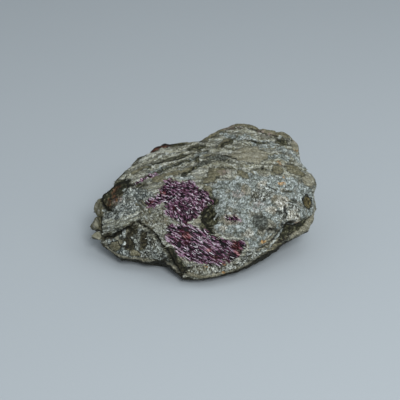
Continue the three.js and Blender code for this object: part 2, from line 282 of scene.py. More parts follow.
        "spots": [(25, 20, 5, 3, 20), (38, 13, 5, 5, 0)],
    },
    "warm": {
        "outlines": [
            [(-31, 8), (-29, 13), (-23, 15), (-14, 11), (-9, 7), (-16.5, 5.5), (-18, 1), (-14, -4), (-5, -10),
             (-7, -15), (-12, -6), (-18, 0), (-24, 4)],
            [(-8, -18), (-7, -11), (2, -11.5), (8, -10), (16, -8), (12, -14), (0, -18)],
        ],
        "spots": [(18.3, 22.2, 2.2, 2.4, 0), (32.6, 17.6, 3, 3, 0), (35.6, 22.1, 1.6, 1, 0),
            (25.3, 3.5, 1.8, 2.2, 0), (29, 6, 2.6, 3.4, 20), (11, 9, 4.5, 2.4, 0), (-35, 17.5, 4, 2.2, 20),
            (27, 30, 3, 2, 0), (-12, 30, 4, 2, 20), (22, 20, 2, 1.5, 0), (28.5, -0.5, 2, 2.6, 0)],
    },
    "cool": {
        "outlines": [
            [(-47, 3), (-47, 15), (-44, 18), (-30, 23), (-24, 20), (-28, 12), (-31, 8), (-36, 6), (-42, 3)],
        ],
        "spots": [(-38, -3, 8, 4, -20)],
    },
    "feldspar": {
        "outlines": [
            [(36.9, 13.2), (41.8, 13.8), (42.8, 9.4), (41, 7.4), (36.6, 7.7)],
        ],
        "spots": [(34.5, 16.6, 3.2, 3, 0), (29.5, 13, 2.4, 1.8, -20), (25.5, 24.6, 2.4, 1.6, 20),
            (8.2, 5, 1.9, 1.2, -10), (19.6, 2.6, 1.8, 1.5, 10)],
    },
    "satin": {
        "outlines": [
            [(-31.5, 9), (-30.5, 14), (-28, 17.5), (-25.5, 20), (-23, 17.5), (-21.5, 15), (-14, 11), (-9, 7),
             (-16.5, 5.5), (-18, 1), (-14, -4), (-8, -9.5), (-9, -12), (-13, -5.5), (-16, -1.5), (-21, 2.5),
             (-26, 7)],
            [(-7, -15.5), (-6, -12.5), (-1, -12), (4, -12.5), (2, -16.5), (-3, -17)],
        ],
        "spots": [(0.5, 1, 2.4, 1.4, -60)],
    },
    "rust": {
        "spots": [(35.3, 25, 2, 0.8, 5), (35.6, 27.9, 0.9, 0.7, 0), (33.9, 34.6, 1.3, 0.6, -30),
            (26.2, -1, 0.9, 0.7, 0), (8, -10.5, 0.9, 0.6, 0), (0.6, -11.8, 0.8, 0.6, 0),
            (8.2, -14.2, 0.8, 0.6, -20), (-44, 15.5, 1.2, 0.8, 30), (41.5, 7.6, 1.6, 0.4, 10),
            (42.6, 40.8, 0.9, 0.6, -40)],
        "bands": [([(-39.5, 24.4), (-41.2, 22.6), (-42, 20.6), (-41.4, 19), (-40.6, 17.6)], 0.9),
            ([(-43.6, 18), (-44.4, 16)], 0.7)],
    },
    "white": {
        "spots": [(-36.2, 2.6, 1.1, 1.6, 20), (-36, -2, 0.8, 1, 0), (-46.6, 8.6, 0.9, 1.1, 0),
            (-33.5, 19.8, 0.8, 0.6, 0), (-36.5, 22.4, 1, 0.5, 20), (35.6, 47.2, 0.9, 0.7, 0),
            (23, 30.2, 1.1, 0.6, -20), (-43, 5, 0.5, 0.9, -30)],
        # the second band is a white line along the top of a ridge, partly a painted highlight
        "bands": [([(17, 26.4), (21.5, 26.6), (24.4, 26), (25, 24), (27.5, 22.9), (30.5, 21.6),
            (33, 19.8)], 0.25), ([(-18.2, 27.3), (-15, 28.7), (-11.2, 27.7), (-8, 28.2), (-4.8, 27.3)], 0.3),
            ([(35.2, 8), (34.8, 4), (33.4, 1.6), (30.7, -1.3), (28.6, -3)], 0.28), ([(36.6, 7.4), (39.2, 7),
            (42.2, 8)], 0.4), ([(36.8, 12.8), (36.9, 10.2), (36.7, 7.8)], 0.25), ([(39.8, 13.6), (40.5, 12.6),
            (40.4, 11.6)], 0.25), ([(-47, 13), (-44.5, 8.5)], 0.25), ([(-30, 14.5), (-27, 11.5),
            (-25.5, 9)], 0.22), ([(-24, 36), (-19, 38.5), (-13, 40)], 0.2), ([(14, 45), (19, 46.5),
            (24, 46)], 0.25), ([(38, 40.5), (42, 38), (46, 34.4)], 0.35), ([(22.5, 46), (26, 45),
            (30, 45.6)], 0.3), ([(4, 9), (6, 12), (5.4, 15.5)], 0.3), ([(36.4, 15.6), (38.5, 16.3),
            (40.5, 15.8)], 0.25)],
    },
    "ochre": {
        "spots": [(47.3, 16.7, 1.7, 2.4, 0)],
    },
    "blush": {
        "spots": [(29, 49, 4, 1.4, -12), (-3, 51.5, 4, 1.6, 30), (13, 52, 5, 1.2, 0), (15, 20, 3, 2, 0),
            (12.5, 9.2, 4.5, 2.4, -20), (24, 15, 3, 2.4, 0), (44.5, 45, 3, 2, -40), (-40, 17.5, 3, 1.2, 30),
            (9, 30, 3, 1.5, 10)],
    },
    "maroon": {
        "spots": [(-7.7, 1.9, 1.9, 1.9, 0), (1.9, -4.3, 1.2, 1.2, 0), (4.5, -7.5, 1.1, 0.9, 0),
            (14.4, -3.8, 3.4, 1.8, -60), (-42, 0, 0.9, 0.9, 0), (-18.5, 20.5, 1.2, 0.7, 30),
            (-24, 16.5, 1.2, 0.6, 30)],
        "bands": [([(-25, 41), (-21, 42.8), (-16.5, 43.6)], 0.9)],
    },
}

# how common a mineral is on the other sides, and its patches there: wavelength, share and seed
otherSides = {
    "granular": (0.5, [(17, 1.1, 5), (5, 0.4, 6)]),
    "olive": (0.22, [(11, 0.5, 9), (4, 0.4, 2)]),
    "khaki": (0.18, [(9, 0.45, 15), (3.5, 0.4, 12)]),
    "weathered": (0.4, [(14, 0.6, 29)]),
    "pale": (0.15, [(8, 0.5, 19), (3, 0.4, 14)]),
}

# dark cracks and grooves on the same plane, dark partly with their own fill and partly with painted shade
# that falls in them and under the ledges above them: the line, half its width and its depth
cracks = [
    ([(-48.2, 18.4), (-45.9, 20.9), (-42, 23.9), (-38.3, 25.7), (-34.3, 26.8)], 0.8, 0.4),
    ([(-35.6, 23.6), (-33.9, 24.3), (-32.4, 24.1)], 0.75, 0.3),
    ([(-48, 19.6), (-47, 16), (-45, 13.3), (-42.5, 12.8)], 0.6, 0.6),
    ([(-25.5, 41.5), (-22.5, 43.5), (-18.5, 44), (-14.5, 44)], 0.6, 0.4),
    ([(-46, 0.5), (-43.5, 1), (-41.5, 1.5), (-38, 3), (-34, 5), (-31.5, 7.5)], 0.5, 1.2),
    ([(-30, 9), (-27.5, 6.5), (-23, 3.5), (-19.5, -1.5), (-16.5, -4), (-14, -9.5), (-10.5, -15)], 0.6, 1.1),
    ([(-36.7, -1.5), (-36, 0.7), (-33.5, 0.9), (-31.5, -1.5), (-31.6, -4.5)], 0.25, 0.3),
    ([(-47.5, 10), (-47, 6), (-46.5, 3), (-47.5, 1)], 0.4, 0.6),
    ([(-44, -3), (-41.5, -1), (-39, -1), (-37.1, -3.5)], 0.25, 0.2),
    ([(27.5, 24.4), (29.5, 23), (32, 21.8)], 0.3, 0.3),
    ([(36.3, 15), (35.9, 13), (36.5, 11.4), (36.1, 9.4)], 0.45, 0.5),
    ([(36.2, 6.4), (39.2, 6), (42.6, 7.2)], 0.4, 0.4),
    ([(41.9, 10.6), (42.3, 9.8)], 0.3, 0.3),
    ([(45.2, 18.8), (47.5, 20.3), (49.8, 18), (49.7, 15), (47.5, 13.2), (45, 15.2), (45.2, 18.8)], 0.3, 0.3),
    ([(35, 7.4), (34.5, 4), (32.3, 1.8), (28.8, -1.3), (25, -3.5)], 0.35, 0.6),
    ([(-25, 33.5), (-16, 35.5), (-6, 39), (2, 41)], 0.3, 0.4),
    ([(3.5, 16.5), (1, 13.5), (-1.3, 9.5), (1.5, 5.5), (3.5, 2)], 0.5, 0.7),
    ([(-1, 36.2), (3, 38), (5.5, 39), (9, 38.2), (14.7, 36.3)], 0.3, 0.4),
    ([(-7, -12), (-10.5, -15)], 0.8, 0.3),
]

# the lower edge of the broken face, along which the shade of the undercut is painted dark
lowerEdge = [(-48, -2.5), (-46.9, -3.3), (-43.1, -6.8), (-37.7, -9.7), (-34.8, -9.3), (-30.6, -10.6),
             (-26.5, -11.6), (-18, -12), (-15, -12.2), (-11.5, -15.8), (-7, -17.5), (-2, -18.8), (4.5, -17.6),
             (10.5, -16.2), (15.5, -14.5), (20, -12), (25.5, -8), (31, -5.8), (34, -4), (38, -2.8),
             (42.5, -1), (47, 2)]

zoneEdges = {
    "ragged": (0.7, 0.6),    # how far the minerals' edges wander to the side and up
    "wavelengths": (3.1, 1.3),
    "seeds": ((11, 3), (23, 8)),
    "blur": 4,               # millimetres over which a map goes from 0 to 1
    "facing": (-0.1, 0.12),  # how far a surface turns to the face's way out before the maps show on it
    "shadeReach": (0.8, 0.3),  # width of the painted shade along the lower edge, and how much wider it is at the right
}


def zonesOf(points, normals):
    # every mineral's map as a number on each point, a half at its edge, and the depth of the cracks
    plainU, plainV = onFacePlane(points)
    u, v = (plain + reach * sum(noiseAt(points, wavelength, seed)
                                for wavelength, seed in zip(zoneEdges["wavelengths"], seeds))
            for plain, reach, seeds in zip((plainU, plainV), zoneEdges["ragged"], zoneEdges["seeds"]))
    turned = normals @ faceOut
    facing = smooth(turned, *zoneEdges["facing"])
    zones = {}
    for name, shapes in faceMap.items():
        inside = np.full(len(points), -9.0)
        for outline in shapes.get("outlines", []):
            inside = np.maximum(inside, insideOutline(u, v, outline))
        for spot in shapes.get("spots", []):
            inside = np.maximum(inside, insideSpot(u, v, spot))
        for line, half in shapes.get("bands", []):
            inside = np.maximum(inside, half - offLine(u, v, line))
        zones[name] = np.clip(0.5 + inside / zoneEdges["blur"], 0, 1) * facing
    for name, (common, patches) in otherSides.items():
        patchy = sum(share * noiseAt(points, wavelength, seed) for wavelength, share, seed in patches)
        zones[name] += (1 - facing) * (common + patchy)
    # the undercut: surfaces turned down near the lower rim, painted dark as shade
    zones["under"] = smooth(-normals[:, 2], 0.1, 0.4) * smooth(turned, -0.3, 0) * smooth(points[:, 0], 46, 38)
    zones["mottle"] = 0.5 + 0.5 * noiseAt(points, 3.6, 61) + 0.2 * noiseAt(points, 1.5, 62)
    # a band along the lower edge that gets the same painted shade
    narrow, wider = zoneEdges["shadeReach"]
    offEdge = offLine(plainU, plainV, lowerEdge) / (narrow + wider * smooth(plainU, -10, 10))
    zones["lowerEdge"] = smooth(-normals[:, 2], -0.35, 0) * smooth(offEdge, 2, 1)
    zones["rim"] = smooth(turned, 0.42, 0.12) * smooth(turned, -0.45, -0.2)
    zones["rim"] *= 0.8 + 0.3 * noiseAt(points, 3, 33)
    zones["crack"] = np.zeros(len(points))
    groove = np.zeros(len(points))
    for line, half, depth in cracks:
        # a crack wanders half as far as the minerals' edges do
        shade = smooth(offLine(0.5 * (u + plainU), 0.5 * (v + plainV), line), 1.35 * half, 0.45 * half)
        shade *= smooth(turned, -0.5, -0.2)
        zones["crack"] = np.maximum(zones["crack"], shade)
        groove = np.maximum(groove, shade * depth)
    return zones, groove


# the stone's body

stone = {
    "fineEdge": 0.62,        # longest edge of a triangle on the broken face and the top
    "coarseEdge": 1.15,      # the same on the back and underneath
    "soleEdge": 4.0,         # the same where the stone lies on the table
    "soleHeight": 0.05,      # what lies lower than this is the sole
    "layerArch": 0.0045,     # the layers drop towards both ends, per square millimetre from archTop
    "archTop": 14,
    "layerDip": 0.36,        # and towards the back, per millimetre
    "layerWave": 2.4,        # height of their waves
    "page": 2.1,             # thickness of the thin layers that show as steps
    "pageStep": 0.4,         # share of it in each step
    "lens": 0.24,            # height of the long swellings between the layers
    "lensSize": (8.5, 1.7),  # the flat crystals in the layers: along them, and across
    "lensBulge": 0.2,        # how far they stand out
    "grainSize": 1.9,
    "grainBump": 0.2,        # how far the round grains stand out
    "fineGrain": 0.95,       # size of the finest grains
    "rimCalm": 0.85,         # share of the roughness that the worn rim loses
    "lumps": [(8.5, 0.3, 31), (3.7, 0.16, 17), (1.7, 0.08, 41)],  # wavelength, height, seed
    "chips": [(6.5, 0.1, 3), (3.1, 0.1, 8)],  # size of the flat chips, their slope, seed
    "sunk": {"lilac": 0.3, "olive": 0.2},     # how deep the soft minerals are worn
    "raised": {"khaki": 0.3, "pale": 0.25},   # how far the glassy lumps stand out
    # where the outline is drawn in or out: place, reach and way, on the leaning plane
    "pulls": [
        (-45.5, 22, 5, 4, -1.5, 1.7), (-41.5, 25.5, 6.5, 5, -0.5, 0.45), (-34, 34, 4.5, 4, 0.6, -1.6),
        (-25.5, 40.8, 2.5, 2.5, 0, -1.1), (25.8, 51.5, 2.5, 2.5, 0, -1), (34.5, 49.5, 2.5, 2.5, 0, -1),
        (44.5, 41.5, 3.5, 3.5, -0.5, -0.5), (47.5, 33, 3, 3, -0.2, 0), (47.5, 4, 3.5, 3, 0.5, -1.1),
        (34, -5.5, 6, 3, 0.2, -0.8), (-20, -12.8, 6, 4, 0, 1), (-51.2, 10.4, 4, 1.7, 2.3, 0),
        (-50.6, 3.2, 4, 1.5, 2.6, 0), (-49.6, 0.9, 3, 1.3, -1.4, 0), (-49.6, -1.2, 3, 1.6, 1.7, 0.3),
        (-38.5, -9, 5, 3, 0, -0.7), (-19, 44.5, 3, 3, 0, 0.8), (5, 49, 3, 3, 0, -0.7),
        (46.5, 36, 4, 5, -0.6, -0.6), (-21, -12.5, 4, 3, 0, 0.7), (45, 4, 7, 5, 0.35, -0.8),
    ],
}


def drawnOutline(points):
    u, v = onFacePlane(points)
    off = smooth(points[:, 2], 0.02, 4)
    for middleU, middleV, reachU, reachV, moveU, moveV in stone["pulls"]:
        share = off * smooth(np.hypot((u - middleU) / reachU, (v - middleV) / reachV), 1, 0)
        points = points + share[:, None] * (moveU * faceRight + moveV * faceUp)
    return points


def refine(shape, limits):
    # halves the edges over their limit, and softens the coarse facets that they leave
    sole = stone["soleHeight"] * mm
    for front, back, rounds in limits:
        shape.normal_update()
        longEdges = []
        for edge in shape.edges:
            first, second = edge.verts
            if first.co.z < sole and second.co.z < sole:
                limit = max(stone["soleEdge"], front)
            else:
                facing = (first.normal + second.normal).dot(Vector(faceOut))
                limit = front if facing > -0.15 else max(back, front)
            if edge.calc_length() > limit * mm:
                longEdges.append(edge)
        bmesh.ops.subdivide_edges(shape, edges=longEdges, cuts=1)
        bmesh.ops.triangulate(shape, faces=[face for face in shape.faces if len(face.verts) > 3])
        loose = [vert for vert in shape.verts if vert.co.z > sole]
        for _ in range(rounds):
            bmesh.ops.smooth_vert(shape, verts=loose, factor=0.5,
                                  use_axis_x=True, use_axis_y=True, use_axis_z=True)


def layerHeight(points):
    # height of a point in the pile of wavy layers
    x, y, z = points.T
    wave = stone["layerWave"] * (noiseAt(points, 24, 1.7) + 0.4 * noiseAt(points, 9, 4.1))
    return z + stone["layerArch"] * (x - stone["archTop"]) ** 2 + stone["layerDip"] * y + wave


def layerNormal(points):
    # the direction across the layers
    x = points[:, 0]
    return unit(np.stack([2 * stone["layerArch"] * (x - stone["archTop"]), np.full(len(x), stone["layerDip"]),
                          np.ones(len(x))], axis=1))


def chipsAt(points, size, slope, seed):
    # flat chips at odd angles, as a broken surface has
    places = points / size + 0.31 * seed
    rise = []
    for place in places.tolist():
        middle = noise.voronoi(place)[1][0]
        lean = noise.cell_vector(middle * 7.7)
        rise.append((Vector(place) - middle).dot(lean - Vector((0.5, 0.5, 0.5))))
    return np.array(rise) * 2 * slope * size


def lensesAt(points, layers):
    # long low swellings that follow the layers
    flat = np.stack([points[:, 0] / 3.4, points[:, 1] / 3.4, layers], axis=1)
    return noiseAt(flat, 1.7, 51) + 0.5 * noiseAt(flat, 0.8, 52)


def cellMaps(points, layers):
    # flat lenses between the layers, and round grains: a shade for each, and how far inside it a point is
    wavy = layers + 0.5 * noiseAt(points, 4, 71)
    along, across = stone["lensSize"]
    flat = np.stack([points[:, 0] / along, points[:, 1] / along, wavy / across], axis=1)
    warped = points + 0.5 * np.stack([noiseAt(points, 1.4, seed) for seed in (81, 82, 83)], axis=1)
    maps = {}
    maps["lensShade"], maps["lensInside"] = cellsAt(flat, 3.3)
    maps["grainShade"], maps["grainInside"] = cellsAt(warped / stone["grainSize"], 7.1)
    return maps


def smoothMinerals(zones):
    # where glassy quartz and worn mica leave the surface smooth
    return smooth(np.maximum.reduce([zones[name] for name in ("khaki", "olive", "pale", "slate")]), 0.42, 0.6)


def reliefOf(points, zones, layers, lenses, cells):
    # how far the fine roughness moves each point out, in millimetres
    relief = sum(height * noiseAt(points, wavelength, seed) for wavelength, height, seed in stone["lumps"])
    relief += sum(chipsAt(points, size, slope, seed) for size, slope, seed in stone["chips"])
    granular = smooth(zones["granular"], 0.4, 0.6)
    lilac = smooth(zones["lilac"], 0.42, 0.6)
    smoothLump = smoothMinerals(zones)
    pages = (layers + 0.5 * noiseAt(points, 5, 61)) / stone["page"]
    within = pages - np.floor(pages)
    step = (smooth(within, 0.35, 0.75) - within) * stone["page"] * stone["pageStep"]
    lensSwell = smooth(cells["lensInside"], 0, 0.4) * (0.4 + 0.8 * cells["lensShade"]) - 0.5
    step += stone["lensBulge"] * lensSwell + stone["lens"] * lenses
    step *= (1 - 0.8 * granular) * (1 - lilac)
    fineInside = cellsAt(points / stone["fineGrain"], 13)[1]
    grains = smooth(cells["grainInside"], 0, 0.6) * (0.5 + cells["grainShade"]) - 0.5
    grains = stone["grainBump"] * (grains + 0.5 * (smooth(fineInside, 0, 0.5) - 0.6))
    relief = relief * (1 - 0.5 * smoothLump) * (0.65 + 0.35 * np.maximum(granular, lilac))
    relief += (step + grains * (0.4 + 0.6 * granular)) * (1 - 0.65 * smoothLump)
    relief *= 1 - stone["rimCalm"] * zones["rim"]
    relief -= stone["sunk"]["lilac"] * lilac + stone["sunk"]["olive"] * smooth(zones["olive"], 0.4, 0.65)
    relief += stone["raised"]["khaki"] * smooth(zones["khaki"], 0.4, 0.75)
    relief += stone["raised"]["pale"] * smooth(zones["pale"], 0.45, 0.7)
    # the second number, the fine relief, sets where shade is painted in the hollows
    return relief, (grains + 0.6 * step) * (1 - 0.6 * smoothLump)


def stoneBody():
    shape = bmesh.new()
    shape.from_mesh(frame["nodes"]["lepidolite_stone"].data)
    bmesh.ops.remove_doubles(shape, verts=shape.verts, dist=0.002 * mm)
    fine, coarse = stone["fineEdge"], stone["coarseEdge"]
    refine(shape, [(1.7, 1.7, 1), (0.5 * (fine + 1.1), coarse, 1), (fine, coarse, 0)])
    mesh = bpy.data.meshes.new("stone_body")
    shape.to_mesh(mesh)
    shape.free()
    points = drawnOutline(pointsOf(mesh))
    mesh.vertices.foreach_set("co", (points * mm).ravel())
    mesh.update()
    normals = normalsOf(mesh)
    zones, groove = zonesOf(points, normals)
    layers = layerHeight(points)
    cells = cellMaps(points, layers)
    relief, fineRelief = reliefOf(points, zones, layers, lensesAt(points, layers), cells)
    offSole = smooth(points[:, 2], 0.02, 2.5)
    moved = points + normals * ((relief - groove) * offSole)[:, None]
    # the sole stays flat, and nothing else sinks to it
    height = points[:, 2]
    moved[:, 2] = np.where(height > stone["soleHeight"], np.maximum(moved[:, 2], 0.02), height)
    mesh.vertices.foreach_set("co", (moved * mm).ravel())
    for name, values in {**zones, **cells, "layer": layers, "relief": 0.5 + fineRelief}.items():
        setMap(mesh, name, values)
    for face in mesh.polygons:
        face.use_smooth = True
    mesh.update()
    print("stone body:", len(mesh.polygons), "triangles")
    return asObject("stone_body", mesh)


# materials

def newMaterial(name):
    material = bpy.data.materials.new(name)
    material.use_nodes = True
    material.node_tree.nodes.clear()
    return material


def colour(red, green, blue):
    # an sRGB colour from 0 to 255 as the linear colour that a shader takes
    parts = [value / 255 for value in (red, green, blue)]
    return (*[part / 12.92 if part <= 0.04045 else ((part + 0.055) / 1.055) ** 2.4 for part in parts], 1.0)


def node(material, kind, inputs=None, **settings):
    made = material.node_tree.nodes.new("ShaderNode" + kind)
    for setting, value in settings.items():
        setattr(made, setting, value)
    for name, value in (inputs or {}).items():
        socket = made.inputs[name]
        if isinstance(value, bpy.types.NodeSocket):
            material.node_tree.links.new(value, socket)
        else:
            socket.default_value = value
    return made.outputs


def calc(material, operation, first, second=0.0):
    return node(material, "Math", {0: first, 1: second}, operation=operation)[0]


def times(material, first, second):
    return calc(material, "MULTIPLY", first, second)


def summed(material, start, *parts):
    # the start and each value times its share
    for value, share in parts:
        start = node(material, "Math", {0: value, 1: share, 2: start}, operation="MULTIPLY_ADD")[0]
    return start


def largest(material, value, *others):
    for other in others:
        value = calc(material, "MAXIMUM", value, other)
    return value


def between(material, value, low, high):
    # 0 below low, 1 above high, smooth in between
    return node(material, "MapRange", {"Value": value, "From Min": low, "From Max": high},
                interpolation_type="SMOOTHSTEP")["Result"]


def over(material, share, base, shade, kind="MIX"):
    # a shade, given as a socket or an sRGB colour, laid over the base
    if not isinstance(shade, bpy.types.NodeSocket):
        shade = colour(*shade)
    return node(material, "Mix", {0: share, 6: base, 7: shade}, data_type="RGBA", blend_type=kind)[2]


def covered(material, base, layers):
    # shades laid over the base one after the other: where each shows, how strongly, and the shade
    for share, strength, shade in layers:
        base = over(material, times(material, share, strength), base, shade)
    return base


def ramp(material, value, stops):
    made = material.node_tree.nodes.new("ShaderNodeValToRGB")
    material.node_tree.links.new(value, made.inputs[0])
    points = made.color_ramp.elements
    while len(points) < len(stops):
        points.new(1.0)
    for point, (place, shade) in zip(points, stops):
        point.position = place
        point.color = colour(*shade)
    return made.outputs[0]


def attribute(material, name):
    return node(material, "Attribute", attribute_name=name, attribute_type="GEOMETRY")["Fac"]


def inMillimetres(material):
    place = node(material, "TexCoord")["Object"]
    return node(material, "VectorMath", {0: place, 3: 1 / mm}, operation="SCALE")[0]


def clouds(material, place, size, detail=3.0, rough=0.6, output=0):
    # noise whose blobs are about this many millimetres
    return node(material, "TexNoise",
                {"Vector": place, "Scale": 0.6 / size, "Detail": detail, "Roughness": rough})[output]


def stretchedClouds(material, places, detail, rough, distortion):
    # noise on coordinates that are drawn out or pressed together already
    place = node(material, "CombineXYZ", dict(enumerate(places)))[0]
    return node(material, "TexNoise", {"Vector": place, "Scale": 1.0, "Detail": detail, "Roughness": rough,
                                       "Distortion": distortion})[0]


def crystals(material, place, size, feature="F1"):
    return node(material, "TexVoronoi", {"Vector": place, "Scale": 1 / size}, feature=feature)


def crystalShade(material, cells, channel=0):
    # a number for each crystal
    return node(material, "SeparateColor", {0: cells["Color"]})[channel]


def gritty(material, place, shade, share):
    # grit of half a millimetre that lightens and darkens a shade
    grit = ramp(material, clouds(material, place, 0.42, 2.0), [
        (0.34, (104, 104, 104)), (0.5, (186, 186, 186)), (0.66, (244, 244, 244))])
    return over(material, share, shade, grit, "OVERLAY")


def roughness(material, value, low, high):
    # a roughness from low to high with the middle values of a noise
    return node(material, "MapRange",
                {"Value": value, "From Min": 0.3, "From Max": 0.7, "To Min": low, "To Max": high})[0]


def bumps(material, height, strength, distance):
    return node(material, "Bump", {"Height": height, "Strength": strength, "Distance": distance * mm})[0]


def finish(material, shade, rough, normal, values):
    inputs = {"Base Color": shade, "Roughness": rough, "Normal": normal, **values}
    node(material, "OutputMaterial", {"Surface": node(material, "BsdfPrincipled", inputs)[0]})
    return material


def stoneMaterial():
    m = newMaterial("pegmatite rock")
    place = inMillimetres(m)
    right, back, up = node(m, "SeparateXYZ", {0: place})
    fine = clouds(m, place, 0.8, 4.0)
    blotch = clouds(m, place, 2.6, 4.0)
    speck = crystalShade(m, crystals(m, place, 0.62), 1)
    ragged = summed(m, -0.13, (clouds(m, place, 1.0, 4.0), 0.26))
    worn = between(m, attribute(m, "weathered"), 0.38, 0.6)

    def zone(name, low=0.46, high=0.54):
        # where a mineral shows, with a ragged edge
        return between(m, calc(m, "ADD", attribute(m, name), ragged), low, high)

    def outline(name):
        return times(m, zone(name, 0.36, 0.44), zone(name, 0.56, 0.48))

    def lines(noiseValue, wide, narrow):
        # thin lines where a noise passes its middle
        return between(m, calc(m, "ABSOLUTE", calc(m, "SUBTRACT", noiseValue, 0.5)), wide, narrow)

    # light blue-grey grains of feldspar and quartz, with dark lacy gaps between them
    wobble = node(m, "VectorMath", {0: clouds(m, place, 1.2, 2.0, output=1), 1: (0.5, 0.5, 0.5)},
                  operation="SUBTRACT")[0]
    grainPlace = node(m, "VectorMath", {0: wobble, 1: (1.6, 1.6, 1.6), 2: place}, operation="MULTIPLY_ADD")[0]
    grain = crystals(m, grainPlace, 1.1)
    granular = ramp(m, summed(m, 0.065, (crystalShade(m, grain), 0.3), (speck, 0.3),
                              (attribute(m, "grainShade"), 0.25), (blotch, 0.25)), [
        (0.30, (68, 71, 62)), (0.40, (99, 104, 96)), (0.54, (127, 133, 128)), (0.68, (147, 154, 150)),
        (0.86, (180, 187, 185))])
    granular = covered(m, granular, [
        (lines(clouds(m, place, 1.9, 3.0), 0.03, 0.006), 0.4, (66, 69, 60)),
        (between(m, attribute(m, "grainInside"), 0.16, 0.04), 0.4, (70, 73, 64)),
        (between(m, attribute(m, "mottle"), 0.56, 0.78), 0.5, (108, 100, 82))])
    warmed = over(m, 1.0, granular, (245, 232, 216), "MULTIPLY")
    granular = over(m, zone("warm", 0.4, 0.6), granular, warmed)

    # weathered parts are a brown and olive ground, black in places, with light crystals in it
    ground = ramp(m, fine, [(0.35, (32, 31, 21)), (0.5, (64, 61, 46)), (0.65, (104, 100, 80))])
    facets = ramp(m, crystalShade(m, crystals(m, grainPlace, 2.7)), [
        (0.0, (46, 43, 31)), (0.16, (64, 61, 46)), (0.25, (104, 103, 90)), (0.5, (131, 132, 121)),
        (0.8, (152, 155, 146)), (1.0, (162, 166, 159))])
    facetEdge = crystals(m, grainPlace, 2.7, "DISTANCE_TO_EDGE")["Distance"]
    granular = covered(m, granular, [
        (times(m, worn, between(m, clouds(m, place, 1.7, 5.0, 0.7), 0.525, 0.475)), 0.45, ground),
        (worn, 0.62, facets),
        (times(m, worn, between(m, facetEdge, 0.07, 0.02)), 0.7, (36, 34, 23)),
        (times(m, worn, between(m, speck, 0.27, 0.19)), 0.85, (30, 29, 19)),
        # painted highlights: tiny light specks that stand for glinting crystals
        (times(m, worn, between(m, speck, 0.76, 0.84)), 0.65, (184, 187, 181))])

    # satin mica lies in soft streaks that fall to the right
    faceHeight = summed(m, 0.0, (back, 0.5), (up, 0.866))
    alongSatin = times(m, summed(m, 0.0, (faceHeight, -0.64), (right, 0.77)), 0.3)
    acrossSatin = times(m, summed(m, 0.0, (faceHeight, 0.77), (right, 0.64)), 0.95)
    satin = ramp(m, stretchedClouds(m, (alongSatin, acrossSatin), 4.0, 0.6, 0.5), [
        (0.3, (64, 62, 46)), (0.41, (95, 94, 79)), (0.5, (117, 117, 103)), (0.6, (140, 141, 129)),
        (0.72, (170, 172, 164))])
    satin = covered(m, satin, [
        (between(m, blotch, 0.5, 0.42), 0.6, (98, 88, 64)),
        (between(m, blotch, 0.56, 0.62), 0.5, (150, 152, 142)),
        (between(m, speck, 0.2, 0.1), 0.7, (40, 38, 27)),
        # painted highlights: tiny light specks that stand for glinting crystals
        (between(m, speck, 0.82, 0.92), 0.6, (182, 185, 178))])

    # olive and beige layers of mica and feldspar: flat lenses, wavy streaks and fine threads
    wavyLayer = summed(m, attribute(m, "layer"), (clouds(m, place, 3.0, 2.0), 2.6),
                       (clouds(m, place, 1.3, 2.0), 1.1))

    def streaks(along, across, detail):
        shares = ((right, along), (back, along), (wavyLayer, across))
        return stretchedClouds(m, [times(m, *pair) for pair in shares], detail, 0.65, 0.6)

    thread = streaks(0.18, 2.5, 4.0)
    layered = ramp(m, summed(m, -0.525, (streaks(0.16, 0.9, 5.0), 0.66), (attribute(m, "lensShade"), 0.24),
                             (thread, 1.2)), [
        (0.18, (66, 63, 44)), (0.29, (108, 105, 83)), (0.42, (138, 136, 115)), (0.58, (166, 165, 149)),
        (0.78, (200, 201, 191))])
    layered = covered(m, layered, [
        (between(m, attribute(m, "lensInside"), 0.14, 0.03), 0.3, (60, 57, 40)),
        (between(m, thread, 0.57, 0.62), 0.62, (46, 44, 28)),
        (between(m, thread, 0.42, 0.37), 0.7, (184, 186, 176)),
        (lines(streaks(0.06, 0.44, 2.0), 0.026, 0.0078), 0.75, (66, 61, 40)),
        (lines(streaks(0.09, 0.62, 2.0), 0.022, 0.0066), 0.75, (182, 186, 178)),
        # painted highlights: tiny light specks that stand for glinting crystals
        (between(m, speck, 0.86, 0.94), 0.5, (186, 190, 184)),
        (between(m, speck, 0.15, 0.06), 0.65, (38, 37, 25))])

